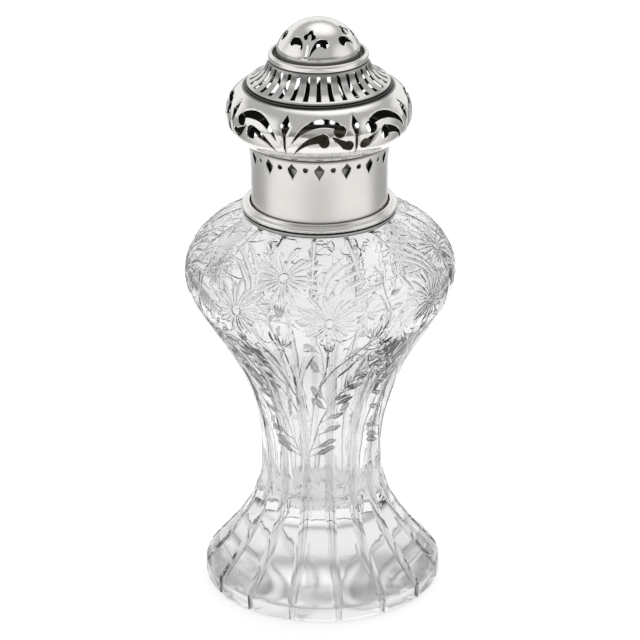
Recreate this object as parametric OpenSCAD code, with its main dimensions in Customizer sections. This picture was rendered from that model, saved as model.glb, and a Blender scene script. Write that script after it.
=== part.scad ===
// Sugar caster: a cut-glass body with a silver collar and a pierced pull-off cover.
// Millimetres, +Z up, origin at the centre of the foot on the table, front towards -Y.

/* [Glass foot and waist] */
// Diameter of the spreading foot
foot_d = 70.8; // [62:0.2:82]
// Height of the foot's upright edge
foot_edge_h = 4.6; // [3:0.1:7]
// Chamfer under the foot's edge
foot_chamfer = 0.6; // [0.2:0.1:1.2]
// How far the foot's top draws in as it leaves its edge
foot_toe_in = 2.8; // [1:0.1:6]
// How far the foot's top rises as it leaves its edge
foot_toe_rise = 5.2; // [3:0.1:8]
// Width of the flat ring that the foot rests on
rest_w = 7.8; // [4:0.2:14]
// Depth of the recess under the foot
recess_h = 1.6; // [0.6:0.1:3]
// Diameter at the waist
waist_d = 35.4; // [32:0.2:42]
// Height of the waist above the table
waist_z = 38.5; // [34:0.5:44]
// Length of the upright stretch below the waist
waist_reach_down = 18; // [12:0.5:22]
// Length of the upright stretch above the waist
waist_reach_up = 35.7; // [25:0.1:42]

/* [Glass belly and shoulder] */
// Diameter of the belly at its widest
belly_d = 79.4; // [70:0.2:90]
// Height of the belly's widest line above the waist
belly_rise = 61; // [54:0.5:68]
// Roundness of the belly below its widest line
belly_reach_down = 13.3; // [8:0.1:18]
// Roundness of the belly above its widest line
belly_reach_up = 8.5; // [5:0.1:11]
// Height of the flat ledge that carries the collar above the belly's widest line
shoulder_rise = 18.1; // [14:0.1:23]
// How far the shoulder runs out as it leaves the ledge
shoulder_reach_out = 8.6; // [5:0.1:12]
// How far the shoulder falls as it leaves the ledge
shoulder_fall = 2.6; // [1:0.1:5]

/* [Glass neck and hollow] */
// Diameter of the neck inside the collar
neck_d = 34.8; // [31:0.2:38]
// Height of the neck above the ledge
neck_h = 18.6; // [14:0.2:22]
// Wall of the neck
neck_wall = 3.2; // [2:0.1:4.5]
// Rounding of the neck's rim
neck_rim_chamfer = 0.6; // [0.2:0.1:1]
// Wall of the belly
belly_wall = 4.5; // [3:0.1:6]
// Wall of the waist
waist_wall = 7.5; // [5:0.1:9]
// Thickness of the shoulder under the ledge
shoulder_wall = 4.6; // [3.5:0.1:6]
// Height of the hollow's floor above the table
hollow_floor_z = 24.5; // [20:0.5:28]
// Diameter of the hollow's flat floor
hollow_floor_d = 10; // [4:0.5:14]

/* [Cut flutes] */
// Number of flutes round the glass
flutes = 16; // [8:1:24]
// Angle of a groove to the right of the front
flute_phase = 7.5; // [0:0.5:22]
// Width of a groove, as an angle
groove_angle = 5; // [2.5:0.1:7]
// Depth of a groove
groove_depth = 0.8; // [0.3:0.1:1.5]
// Height past the glass at which a groove's floor ends
groove_run_out = 0.02; // [0.01:0.01:0.1]
// Curve steps over which a groove runs out
groove_fade = 4; // [2:1:6]
// Curve steps that the foot's grooves run up the flank
groove_rise = 5; // [2:1:8]

/* [Collar] */
// Thickness of the plaster round the neck
plaster_t = 0.8; // [0.4:0.1:1.5]
// Wall of the collar band
collar_wall = 0.7; // [0.5:0.05:1.2]
// Height of the collar band above the ledge
collar_h = 19.4; // [15:0.2:22.5]
// Height of the moulding
moulding_h = 3.6; // [3:0.1:5]
// Radius of the moulding's bead
bead_r = 0.9; // [0.5:0.05:1.2]
// Height of the flange under the bead
flange_h = 1.3; // [0.8:0.1:1.6]
// How far the flange stands in from the bead
flange_inset = 0.3; // [0:0.05:0.8]
// How far the bead stands out from the moulding's top fillet
bead_step = 1.6; // [1:0.1:2.4]
// Wall of the moulding's top fillet outside the seat
fillet_w = 0.8; // [0.5:0.1:1.5]
// Height of the moulding's top fillet
fillet_h = 0.8; // [0.4:0.1:1.2]
// Depth of the seat that the cover rests in below the moulding's top
seat_drop = 1.2; // [0.6:0.1:2]
// Gap round the cover in the moulding's seat
seat_gap = 0.5; // [0.3:0.05:0.7]

/* [Cover sleeve] */
// Clearance between the cover and the collar band
slip = 0.06; // [0.03:0.01:0.1]
// Wall of the sleeve
sleeve_wall = 0.84; // [0.6:0.02:1.2]
// Height of the sleeve
sleeve_h = 20.8; // [17:0.2:26]
// Height of the sleeve's flaring top
sleeve_flare_h = 11; // [6:0.2:14]
// How far the sleeve's top flares out
sleeve_flare = 1.1; // [0.4:0.1:2]
// Curve steps in the sleeve's flaring top
sleeve_steps = 4; // [3:1:6]
// Number of lozenges round the sleeve
lozenges = 16; // [8:1:20]
// Width of a lozenge
lozenge_w = 2.6; // [1.6:0.1:3.4]
// Height of a lozenge
lozenge_h = 4.8; // [3:0.1:5.4]
// Depth of a lozenge's centre below the sleeve's top
lozenge_drop = 4.2; // [3.4:0.1:6]
// Diameter of the dots between the lozenges
dot_d = 1.5; // [0.8:0.1:2]
// Depth of the dots below the sleeve's top
dot_drop = 3.5; // [2.4:0.1:6]

/* [Cover bulb] */
// How far the bulb swells out past its seat on the sleeve
bulb_swell = 5.2; // [3.5:0.1:8]
// How far the bulb draws in again to its crown
bulb_draw_in = 5.6; // [4:0.1:7.5]
// Height of the bulb below its widest line
bulb_low = 7.6; // [6:0.1:10]
// Height of the bulb above its widest line
bulb_high = 7.8; // [6:0.1:10]
// Wall of the bulb
bulb_wall = 0.8; // [0.5:0.05:1.2]
// Overhang of the bulb past the sleeve's top edge
bulb_overhang = 0.8; // [0.3:0.1:1.5]
// Width of the flat crown that carries the wire
crown_w = 2.7; // [2:0.1:3.5]

/* [Scrolls of the bulb] */
// Number of scroll units round the bulb
scrolls = 8; // [4:2:10]
// Angle of the front scroll to the right of the front
scroll_phase = 1; // [-22:0.5:22]
// Width of the drawn scroll unit
scroll_unit_w = 21.1; // [18:0.1:26]
// Height of the drawn scroll unit
scroll_unit_h = 15.4; // [14:0.1:18]
// Height of a spear's tip above the bulb's widest line
spear_tip = 6.6; // [5:0.1:7]
// Height of a spear's shoulders
spear_shoulder = 4; // [3:0.1:5]
// Height of a spear's neck
spear_neck = 1.4; // [0.5:0.1:2.5]
// Depth of a spear's point below the bulb's widest line
spear_point = 5.3; // [4:0.1:6]
// Width of a spear's neck
spear_neck_w = 0.9; // [0.5:0.1:1.4]
// Width of a broad spear's head
broad_spear_w = 3; // [2:0.1:3.8]
// Width of a slim spear's head
slim_spear_w = 2.4; // [1.6:0.1:3]

/* [Cover flare] */
// Height of the wire between the bulb and the flare
wire_h = 0.6; // [0.4:0.05:1]
// Flat left outside the wire on top of the bulb
crown_margin = 0.3; // [0.1:0.05:0.8]
// How far the flare's lip stands in from the wire
lip_inset = 0.4; // [0:0.05:1]
// Height of the flare's lip
lip_h = 0.7; // [0.4:0.05:1.2]
// Height of the flare from its lip to the dome's seat
flare_h = 6.7; // [5:0.1:9]
// Depth of the flare's hollow curve
flare_sag = 1.3; // [0.6:0.05:2]
// Wall of the flare
flare_wall = 0.8; // [0.5:0.05:1.2]
// Number of slots round the flare
slots = 32; // [16:1:36]
// Width of a slot at its foot
slot_foot_w = 1.35; // [0.8:0.05:1.8]
// Width of a slot at its top
slot_top_w = 0.95; // [0.5:0.05:1.3]
// Distance from the lip to a slot's foot
slot_foot_gap = 0.9; // [0.5:0.1:2]
// Distance from the dome's seat to a slot's top
slot_top_gap = 1; // [0.6:0.1:2]

/* [Cover dome] */
// Diameter of the dome at its foot
dome_d = 25.8; // [24:0.2:29]
// Height of the dome above its seat
dome_h = 11.6; // [9.5:0.1:12.6]
// Wall of the dome
dome_wall = 0.8; // [0.5:0.05:1.2]
// Gap between the dome's foot and the rim
rim_gap = 0.05; // [0.02:0.01:0.2]
// Width of the rim
rim_w = 1.45; // [1:0.05:2]
// Height of the rim
rim_h = 2; // [1.4:0.1:3]
// Overhang of the rim past the flare
rim_overhang = 0.1; // [0:0.05:0.4]

/* [Flowers of the dome] */
// Number of flowers round the dome
flowers = 4; // [2:1:4]
// Angle of the front flower to the right of the front
flower_phase = -17.5; // [-45:0.5:45]
// Angle of a flower's middle above the level, from the middle of the dome's sphere
flower_lift = 42; // [39:0.5:45]
// Diameter of the dome that the flower is drawn on
flower_dome_d = 25.8; // [24.6:0.2:30]

/* [Hidden] */
$fn = 96;
curve_steps = 10;
recess_steps = 5;
// Room that a cut reaches past the face it opens
over = 1;

// Radii of the glass
foot_r = foot_d / 2;
recess_r = foot_r - foot_chamfer - rest_w;
waist_r = waist_d / 2;
belly_r = belly_d / 2;
neck_r = neck_d / 2;
hollow_waist_r = waist_r - waist_wall;
hollow_floor_r = hollow_floor_d / 2;
hollow_belly_r = belly_r - belly_wall;
mouth_r = neck_r - neck_wall;

// Radii from the neck outwards
collar_in_r = neck_r + plaster_t;
collar_r = collar_in_r + collar_wall;
sleeve_in_r = collar_r + slip;
sleeve_r = sleeve_in_r + sleeve_wall;
sleeve_top_r = sleeve_r + sleeve_flare;
seat_r = sleeve_r + seat_gap;
fillet_r = seat_r + fillet_w;
moulding_r = fillet_r + bead_step;
flange_r = moulding_r - flange_inset;

// Radii of the bulb, the flare and the dome
bulb_seat_r = sleeve_top_r + bulb_overhang;
bulb_r = bulb_seat_r + bulb_swell;
crown_r = bulb_r - bulb_draw_in;
crown_in_r = crown_r - crown_w;
wire_r = crown_r - crown_margin;
lip_r = wire_r - lip_inset;
dome_r = dome_d / 2;
dome_arc_r = (dome_r * dome_r + dome_h * dome_h) / (2 * dome_h);
rim_in_r = dome_r + rim_gap;
rim_r = rim_in_r + rim_w;
flare_top_r = rim_r - rim_overhang;

// Heights from the waist upwards
belly_z = waist_z + belly_rise;
ledge_z = belly_z + shoulder_rise;
neck_top_z = ledge_z + neck_h;
seat_z = ledge_z + moulding_h - seat_drop;
sleeve_top_z = seat_z + sleeve_h;
bulb_z = sleeve_top_z + bulb_low;
crown_z = bulb_z + bulb_high;
lip_z = crown_z + wire_h;
flare_z = lip_z + lip_h;
dome_seat_z = flare_z + flare_h;

// Flat outline of the bulb's scroll unit, each circle as its place across, its place up and its radius
// Big scroll's outer circle
big_outer = [0.8, -3.3, 9.3];
// Big scroll's inner circle
big_inner = [0.9, -6.9, 10.9];
// Ball at the end of the big scroll
big_ball = [5.45, 2.75, 1.75];
// Small scroll's outer circle
small_outer = [2, -7.7, 10.1];
// Small scroll's inner circle
small_inner = [-0.2, -8.9, 8.5];
// Ball at the end of the small scroll
small_ball = [0.95, -0.2, 1.6];
// Rounding that joins the small scroll to its ball
small_turn = [0.9, 0.9, 1.4];
// Ball at the end of the short stroke
stroke_ball = [7.8, -1.6, 1.5];
// Point where the short stroke starts
stroke_tip = [3.1, 1.5];

// Flat outline of the dome's flower about its middle, each point as its place across and its place up
// Tip of the flower
flower_tip = [0, 5.3];
// Edge of the flower from its tip round its right petal to its stem
petal_edge = [[0.5, 4.1], [0.8, 3.2], [1.75, 2.6], [1.85, 1.8], [1.3, 1.25], [0.6, 1], [0.55, 2.1], [0.3, 2.8]];
// Top of the stem that stands between the petals
stem_top = [0, 3];
// Slit beside the stem
stem_slit = [[-0.1, -0.7], [0.2, -0.7], [0.15, -3.1], [-0.15, -4.5], [-0.5, -4.5], [-0.15, -2.8]];
// Highest point of the right scroll
curl_crest = [4.1, 2];
// End of the right scroll's hook
curl_hook = [4.9, -0.75];
// Foot of the scroll to the right of the stem
long_curl_foot = [0.85, -4.2];
// Foot of the scroll to the left of the stem, before it is mirrored
short_curl_foot = [1.7, -2.2];
// Two pulls of the scroll's curve on its way up to the crest
curl_rise = [[1.1, -1.2], [2, 1.95]];
// Two pulls of its curve round the hook
curl_turn = [[5.9, 2.1], [6.1, -0.6]];
// Two pulls of its curve back to the foot
curl_return = [[3.2, 0.6], [1.9, -1.6]];
// Curve steps of each stretch of a scroll
curl_steps = 5;

// Points along a cubic curve, without its first point
function curve(a, b, c, d, steps = curve_steps) =
    [for (i = [1:steps])
        let (t = i / steps, s = 1 - t)
        s * s * s * a + 3 * s * s * t * b + 3 * s * t * t * c + t * t * t * d];

// Unit vector out of a path that climbs, at point i
function outward(path, i) =
    let (a = path[max(i - 1, 0)], b = path[min(i + 1, len(path) - 1)], d = (b - a) / norm(b - a))
    [d[1], -d[0]];

// Outer curves of the glass
foot_curve = curve([foot_r, foot_edge_h], [foot_r - foot_toe_in, foot_edge_h + foot_toe_rise],
                   [waist_r, waist_z - waist_reach_down], [waist_r, waist_z]);
flank_curve = curve([waist_r, waist_z], [waist_r, waist_z + waist_reach_up],
                    [belly_r, belly_z - belly_reach_down], [belly_r, belly_z]);
shoulder_curve = curve([belly_r, belly_z], [belly_r, belly_z + belly_reach_up],
                       [flange_r + shoulder_reach_out, ledge_z - shoulder_fall], [flange_r, ledge_z]);

// Inner curves of the glass, from the mouth down to the hollow's floor
hollow_top_z = ledge_z - shoulder_wall;
hollow_shoulder = curve([mouth_r, hollow_top_z], [mouth_r + shoulder_reach_out, hollow_top_z - shoulder_fall],
                        [hollow_belly_r, belly_z + belly_reach_up / 2], [hollow_belly_r, belly_z]);
hollow_flank = curve([hollow_belly_r, belly_z], [hollow_belly_r, belly_z - belly_reach_down],
                     [hollow_waist_r, waist_z + waist_reach_up], [hollow_waist_r, waist_z]);
hollow_foot = curve([hollow_waist_r, waist_z], [hollow_waist_r, hollow_floor_z],
                    [hollow_waist_r, hollow_floor_z], [hollow_floor_r, hollow_floor_z]);

// Curve of the recess under the foot, from its middle outwards
recess_curve = curve([0, recess_h], [recess_r / 2, recess_h], [recess_r - recess_h, recess_h / 2], [recess_r, 0],
                     recess_steps);

module glass_outline() {
    polygon(concat(
        [[0, recess_h]], recess_curve,
        [[foot_r - foot_chamfer, 0], [foot_r, foot_chamfer], [foot_r, foot_edge_h]],
        foot_curve, flank_curve, shoulder_curve,
        [[neck_r, ledge_z], [neck_r, neck_top_z - neck_rim_chamfer], [neck_r - neck_rim_chamfer, neck_top_z],
         [mouth_r + neck_rim_chamfer, neck_top_z], [mouth_r, neck_top_z - neck_rim_chamfer],
         [mouth_r, hollow_top_z]],
        hollow_shoulder, hollow_flank, hollow_foot, [[0, hollow_floor_z]]));
}

// Groove cut along a climbing path, running out at the marked ends
module groove(path, angle, fade_low, fade_high) {
    last = len(path) - 1;
    low_steps = fade_low ? groove_fade : 0;
    high_steps = fade_high ? groove_fade : 0;
    share = [for (i = [0:last])
        i < low_steps ? i / low_steps : last - i < high_steps ? (last - i) / high_steps : 1];
    depth = [for (s = share) groove_depth * s - groove_run_out * (1 - s)];
    floor_line = [for (i = [0:last]) path[i] - outward(path, i) * depth[i]];
    far_r = max(foot_r, belly_r) + over;
    rotate([0, 0, angle - 90 - groove_angle / 2])
        rotate_extrude(angle = groove_angle)
            polygon(concat(floor_line, [[far_r, path[last][1] + over], [far_r, path[0][1]]]));
}

module glass_body() {
    pitch = 360 / flutes;
    foot_path = concat([[foot_r, -over], [foot_r, foot_edge_h]], foot_curve,
                       [for (i = [0:groove_rise - 1]) flank_curve[i]]);
    color("aliceblue", 0.4)
        difference() {
            rotate_extrude() glass_outline();
            for (k = [0:flutes - 1]) {
                groove(foot_path, flute_phase + k * pitch, false, true);
                groove(shoulder_curve, flute_phase + (k + 0.5) * pitch, true, false);
            }
        }
}

module plaster_bedding() {
    color("ivory")
        rotate_extrude()
            translate([neck_r, ledge_z]) square([plaster_t, neck_h - neck_rim_chamfer]);
}

module collar_band() {
    color("silver")
        rotate_extrude()
            translate([collar_in_r, ledge_z]) square([collar_wall, collar_h]);
}

module collar_moulding() {
    bead_line_r = moulding_r - bead_r;
    color("silver")
        rotate_extrude()
            difference() {
                union() {
                    translate([collar_r, ledge_z]) square([flange_r - collar_r, flange_h]);
                    translate([collar_r, ledge_z]) square([bead_line_r - collar_r, moulding_h - fillet_h]);
                    translate([collar_r, ledge_z]) square([fillet_r - collar_r, moulding_h]);
                    translate([bead_line_r, ledge_z + flange_h + bead_r]) circle(bead_r);
                }
                translate([collar_r - over, seat_z]) square([seat_r - collar_r + over, moulding_h]);
            }
}

// Stands a flat cut upright at an angle to the right of the front, and runs it outwards from near to far
module cut_outwards(angle, near, far) {
    rotate([0, 0, angle]) translate([0, -near, 0]) rotate([90, 0, 0]) linear_extrude(far - near) children();
}

module lozenge() {
    polygon([[0, lozenge_h / 2], [lozenge_w / 2, 0], [0, -lozenge_h / 2], [-lozenge_w / 2, 0]]);
}

module cap_sleeve() {
    pitch = 360 / lozenges;
    straight_h = sleeve_h - sleeve_flare_h;
    flare_line = curve([0, straight_h], [0, straight_h + sleeve_flare_h / 2],
                       [sleeve_flare / 2, sleeve_h - sleeve_flare_h / 4], [sleeve_flare, sleeve_h],
                       sleeve_steps);
    inner = concat([[0, 0], [0, straight_h]], flare_line);
    last = len(inner) - 1;
    outer = [for (i = [last:-1:0]) inner[i] + [sleeve_wall, 0]];
    color("silver")
        difference() {
            rotate_extrude()
                translate([sleeve_in_r, seat_z])
                    polygon(concat(inner, outer));
            for (k = [0:lozenges - 1]) {
                cut_outwards(k * pitch, sleeve_in_r - over, sleeve_top_r + over)
                    translate([0, sleeve_top_z - lozenge_drop]) lozenge();
                cut_outwards((k + 0.5) * pitch, sleeve_in_r - over, sleeve_top_r + over)
                    translate([0, sleeve_top_z - dot_drop]) circle(d = dot_d);
            }
        }
}

// Section of a bulging wall between its widest line and an edge at edge_r, height h away
module bulge(edge_r, h) {
    run = bulb_r - edge_r;
    arc_r = (run * run + h * h) / (2 * run);
    translate([bulb_r - arc_r, 0])
        difference() {
            circle(arc_r);
            circle(arc_r - bulb_wall);
        }
}

module bulb_section() {
    foot_in_r = sleeve_top_r - sleeve_wall;
    intersection() {
        bulge(bulb_seat_r, bulb_low);
        translate([foot_in_r, -bulb_low]) square([bulb_r, bulb_low]);
    }
    intersection() {
        bulge(crown_r, bulb_high);
        translate([crown_in_r, 0]) square([bulb_r, bulb_high]);
    }
    translate([foot_in_r, -bulb_low]) square([bulb_seat_r - foot_in_r, bulb_wall]);
    translate([crown_in_r, bulb_high - bulb_wall]) square([crown_r - crown_in_r, bulb_wall]);
}

// Round cut given as [across, up, radius]
module disc(c) {
    translate([c[0], c[1]]) circle(c[2]);
}

// Crescent between two circles, ending in a ball; it lies to the left of the ball's middle and above low
module crescent(outer, inner, ball, low) {
    intersection() {
        difference() {
            disc(outer);
            disc(inner);
        }
        translate([ball[0] - 2 * outer[2], low]) square(2 * outer[2]);
    }
    disc(ball);
}

// One scroll of the bulb, drawn about the middle of its unit
module scroll() {
    crescent(big_outer, big_inner, big_ball, big_inner[1]);
    crescent(small_outer, small_inner, small_ball, -scroll_unit_h / 2);
    disc(small_turn);
    stroke_r = stroke_ball[2];
    stroke = [stroke_ball[0], stroke_ball[1]];
    polygon([stroke_tip, stroke - [stroke_r, stroke_r / 1.5], stroke - [0, stroke_r],
             stroke + [-stroke_r / 2, stroke_r]]);
    disc(stroke_ball);
}

// Spear between two scrolls, with a head of this width
module spear(head_w) {
    right = [[head_w / 2, spear_shoulder], [spear_neck_w / 2, spear_neck],
             [spear_neck_w / 3, -spear_point / 2]];
    left = [for (i = [2:-1:0]) [-right[i][0], right[i][1]]];
    polygon(concat([[0, spear_tip]], right, [[0, -spear_point]], left));
}

module cap_bulb() {
    pitch = 360 / scrolls;
    fit = min(2 * PI * bulb_r / scrolls / scroll_unit_w, (bulb_low + bulb_high) / scroll_unit_h);
    color("silver")
        difference() {
            translate([0, 0, bulb_z]) rotate_extrude() bulb_section();
            for (k = [0:scrolls - 1]) {
                cut_outwards(scroll_phase + k * pitch, crown_r, bulb_r + over)
                    translate([0, bulb_z]) scale(fit) mirror([k % 2, 0]) scroll();
                cut_outwards(scroll_phase + (k - 0.5) * pitch, crown_in_r, bulb_r + over)
                    translate([0, bulb_z]) scale(fit) spear(k % 2 == 0 ? broad_spear_w : slim_spear_w);
            }
        }
}

module shoulder_wire() {
    color("silver")
        translate([0, 0, crown_z])
            rotate_extrude() {
                translate([crown_in_r, 0]) square([wire_r - wire_h / 2 - crown_in_r, wire_h]);
                translate([wire_r - wire_h / 2, wire_h / 2]) circle(wire_h / 2);
            }
}

// The flare's hollow curve runs from its lip to its top edge
flare_foot = [lip_r, flare_z];
flare_top = [flare_top_r, dome_seat_z];
flare_chord = norm(flare_top - flare_foot);
flare_along = (flare_top - flare_foot) / flare_chord;
flare_out = [flare_along[1], -flare_along[0]];
flare_arc_r = (flare_chord * flare_chord / 4 + flare_sag * flare_sag) / (2 * flare_sag);
flare_centre = (flare_foot + flare_top) / 2 + flare_out * (flare_arc_r - flare_sag);

module flare_section() {
    intersection() {
        translate(flare_centre)
            difference() {
                circle(flare_arc_r + flare_wall);
                circle(flare_arc_r);
            }
        translate([0, lip_z]) square([lip_r, dome_seat_z - lip_z]);
    }
    translate([crown_in_r, lip_z]) square([lip_r - crown_in_r, lip_h]);
    ledge_in_r = dome_r - dome_wall;
    translate([ledge_in_r, dome_seat_z - flare_wall]) square([flare_top_r - ledge_in_r, flare_wall]);
}

module cap_flare() {
    slot_h = flare_chord - slot_foot_gap - slot_top_gap;
    depth = flare_sag + 3 * flare_wall;
    tilt = atan2(flare_along[1], -flare_along[0]);
    foot = flare_foot + flare_along * slot_foot_gap - flare_out * depth;
    color("silver")
        difference() {
            rotate_extrude() flare_section();
            for (k = [0:slots - 1])
                rotate([0, 0, k * 360 / slots])
                    translate([0, -foot[0], foot[1]])
                        rotate([tilt, 0, 0])
                            linear_extrude(depth + over)
                                polygon([[-slot_foot_w / 2, 0], [slot_foot_w / 2, 0],
                                         [slot_top_w / 2, slot_h], [-slot_top_w / 2, slot_h]]);
        }
}

module dome_rim() {
    round_r = rim_w / 2;
    color("silver")
        translate([0, 0, dome_seat_z])
            rotate_extrude() {
                translate([rim_in_r, 0]) square([rim_w, rim_h - round_r]);
                translate([rim_in_r + round_r, rim_h - round_r]) circle(round_r);
            }
}

// Section of the dome above its seat, about the middle of its sphere
module dome_section() {
    intersection() {
        difference() {
            circle(dome_arc_r);
            circle(dome_arc_r - dome_wall);
        }
        translate([0, dome_arc_r - dome_h]) square(dome_arc_r + over);
    }
}

// Scroll beside the flower's stem: up from its foot, round its hook and back
module curl(foot) {
    polygon(concat(
        curve(foot, curl_rise[0], curl_rise[1], curl_crest, curl_steps),
        curve(curl_crest, curl_turn[0], curl_turn[1], curl_hook, curl_steps),
        curve(curl_hook, curl_return[0], curl_return[1], foot, curl_steps)));
}

// Flower of the dome between its two scrolls, with the slit beside its stem
module flower() {
    last = len(petal_edge) - 1;
    left_edge = [for (i = [last:-1:0]) [-petal_edge[i][0], petal_edge[i][1]]];
    polygon(concat([flower_tip], petal_edge, [stem_top], left_edge));
    polygon(stem_slit);
    curl(long_curl_foot);
    mirror([1, 0]) curl(short_curl_foot);
}

module cap_dome() {
    pitch = 360 / flowers;
    cut_from = dome_arc_r / 2;
    color("silver")
        translate([0, 0, dome_seat_z + dome_h - dome_arc_r])
            rotate([0, 0, flower_phase])
                difference() {
                    rotate([0, 0, pitch / 2]) rotate_extrude() dome_section();
                    for (k = [0:flowers - 1])
                        rotate([0, 0, k * pitch])
                            rotate([90 - flower_lift, 0, 0])
                                translate([0, 0, cut_from])
                                    linear_extrude(dome_arc_r + over - cut_from)
                                        scale(dome_d / flower_dome_d) flower();
                }
}

glass_body();
plaster_bedding();
collar_band();
collar_moulding();
cap_sleeve();
cap_bulb();
shoulder_wire();
cap_flare();
dome_rim();
cap_dome();
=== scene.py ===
"""Sugar caster: the looks of its cut glass body, its silver collar and its pierced silver cover."""

import math

import bmesh
import bpy
import numpy as np
from bpy.props import FloatProperty, FloatVectorProperty, IntProperty, PointerProperty
from bpy.types import Operator, Panel, PropertyGroup
from mathutils import Matrix, Vector
from mathutils.geometry import delaunay_2d_cdt


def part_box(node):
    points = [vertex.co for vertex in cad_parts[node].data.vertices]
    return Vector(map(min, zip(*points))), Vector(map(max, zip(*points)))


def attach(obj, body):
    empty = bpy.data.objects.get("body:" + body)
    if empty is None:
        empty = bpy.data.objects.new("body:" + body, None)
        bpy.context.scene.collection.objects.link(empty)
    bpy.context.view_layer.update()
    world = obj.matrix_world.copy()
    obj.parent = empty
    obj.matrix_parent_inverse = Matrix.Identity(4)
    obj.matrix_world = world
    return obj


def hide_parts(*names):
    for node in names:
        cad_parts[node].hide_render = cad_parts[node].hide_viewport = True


bl_info = {
    "name": "Sugar Caster",
    "version": (1, 0, 0),
    "blender": (4, 5, 0),
    "location": "3D View > Sidebar > Caster",
    "description": "Dresses a cut-glass sugar caster with a pierced silver cover",
    "category": "Add Mesh",
}

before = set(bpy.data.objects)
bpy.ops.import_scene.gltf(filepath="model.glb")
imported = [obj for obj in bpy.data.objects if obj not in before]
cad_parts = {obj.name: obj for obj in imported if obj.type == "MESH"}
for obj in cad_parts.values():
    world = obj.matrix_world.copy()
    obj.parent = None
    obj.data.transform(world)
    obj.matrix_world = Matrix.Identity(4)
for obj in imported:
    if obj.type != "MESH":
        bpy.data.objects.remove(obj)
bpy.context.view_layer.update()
MM = 0.001
WELD = 2e-6


def reach(node):
    """Radius, foot and top of a node, in millimetres."""
    low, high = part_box(node)
    return high.x / MM, low.z / MM, high.z / MM


BELLY_R, _, NECK_TOP = reach("glass_body")
COLLAR_R, LEDGE_Z, COLLAR_TOP = reach("collar_band")
MOULDING_R, _, MOULDING_TOP = reach("collar_moulding")
SLEEVE_TOP_R, SEAT_Z, SLEEVE_TOP = reach("cap_sleeve")
BULB_R, BULB_FOOT, CROWN_Z = reach("cap_bulb")
WIRE_R, WIRE_FOOT, WIRE_TOP = reach("shoulder_wire")
LIP_R, LIP_Z, DOME_SEAT = reach("cap_flare")
RIM_R, _, RIM_TOP = reach("dome_rim")
DOME_TOP = reach("cap_dome")[2]
RIM_W, RIM_GAP = 1.45, 0.05
DOME_R = RIM_R - RIM_W - RIM_GAP


class GlassSizes(PropertyGroup):
    """Sizes and colour of the glass body."""

    foot_r: FloatProperty(
        name="Foot radius", description="Radius of the foot", default=35.4 * MM, unit="LENGTH")
    foot_edge: FloatProperty(
        name="Foot edge", description="Height of the foot's upright edge", default=4.6 * MM, unit="LENGTH")
    waist_r: FloatProperty(
        name="Waist radius", description="Radius at the waist", default=17.7 * MM, unit="LENGTH")
    waist_z: FloatProperty(
        name="Waist height", description="Height of the waist", default=38.5 * MM, unit="LENGTH")
    belly_z: FloatProperty(
        name="Belly height", description="Height of the widest line", default=99.5 * MM, unit="LENGTH")
    flute_w: FloatProperty(
        name="Flute width", description="Width of a flute's groove", default=2.5 * MM, unit="LENGTH")
    flute_depth: FloatProperty(
        name="Flute depth", description="Depth of a flute's groove", default=0.85 * MM, unit="LENGTH")
    petals: IntProperty(name="Petals", description="Number of petals of an engraved flower", default=20)
    petal_reach: FloatProperty(
        name="Petal reach", description="Radius of an engraved flower", default=10.2 * MM, unit="LENGTH")
    petal_depth: FloatProperty(
        name="Petal depth", description="Depth of a petal's cut", default=0.24 * MM, unit="LENGTH")
    tint: FloatVectorProperty(
        name="Tint", description="Colour of the glass", default=(0.905, 0.908, 0.912), subtype="COLOR")


class SilverSizes(PropertyGroup):
    """Sizes and colours of the silver."""

    wall: FloatProperty(
        name="Wall", description="Thickness of the pierced sheet", default=0.45 * MM, unit="LENGTH")
    edge: FloatProperty(
        name="Edge", description="Rounding of a pierced edge", default=0.16 * MM, unit="LENGTH")
    colour: FloatVectorProperty(
        name="Silver", description="Colour of the silver", default=(0.90, 0.885, 0.86), subtype="COLOR")
    # painted shade and tarnish: this near-black colour darkens the cover's inside and its creases
    tarnish_and_shade: FloatVectorProperty(
        name="Tarnish and shade", description="Colour of the darkened inside", default=(0.012, 0.010, 0.008),
        subtype="COLOR")


class StageSizes(PropertyGroup):
    """Camera, floor and light."""

    lens: FloatProperty(name="Lens", description="Focal length", default=167.6, unit="CAMERA")
    distance: FloatProperty(
        name="Distance", description="Distance of the camera", default=0.8806, unit="LENGTH")
    elevation: FloatProperty(
        name="Elevation", description="Angle of the camera above the table", default=math.radians(24.03),
        subtype="ANGLE")
    lean: FloatProperty(
        name="Lean", description="Roll of the camera", default=math.radians(0.48), subtype="ANGLE")
    aim_z: FloatProperty(
        name="Aim height", description="Height that the camera looks at", default=82.4 * MM, unit="LENGTH")
    aim_x: FloatProperty(
        name="Aim side", description="How far beside the axis the camera looks", default=-0.18 * MM,
        unit="LENGTH")
    floor: FloatVectorProperty(
        name="Floor", description="Colour of the floor in view", default=(0.93, 0.93, 0.93), subtype="COLOR")
    card: FloatVectorProperty(
        name="Card", description="Colour of the floor in front", default=(0.80, 0.785, 0.76),
        subtype="COLOR")
    table: FloatVectorProperty(
        name="Table", description="Colour of the floor far off", default=(0.45, 0.45, 0.45), subtype="COLOR")


# Flat geometry, in millimetres


def curve(a, b, c, d, steps):
    """Points along a cubic curve, without its first point."""
    a, b, c, d = (np.array(p, float) for p in (a, b, c, d))
    t = np.linspace(0, 1, steps + 1)[1:, None]
    return (1 - t) ** 3 * a + 3 * (1 - t) ** 2 * t * b + 3 * (1 - t) * t**2 * c + t**3 * d


def arc(centre, radius, start, end, steps):
    """Points of an arc between two angles in degrees, with both its ends."""
    turn = np.radians(np.linspace(start, end, steps + 1))
    return np.column_stack([centre[0] + radius * np.cos(turn), centre[1] + radius * np.sin(turn)])


def disc(circle, steps=20):
    """Closed outline of a circle given as its place across, its place up and its radius."""
    return arc(circle[:2], circle[2], 0, 360, steps)[:-1]


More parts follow.
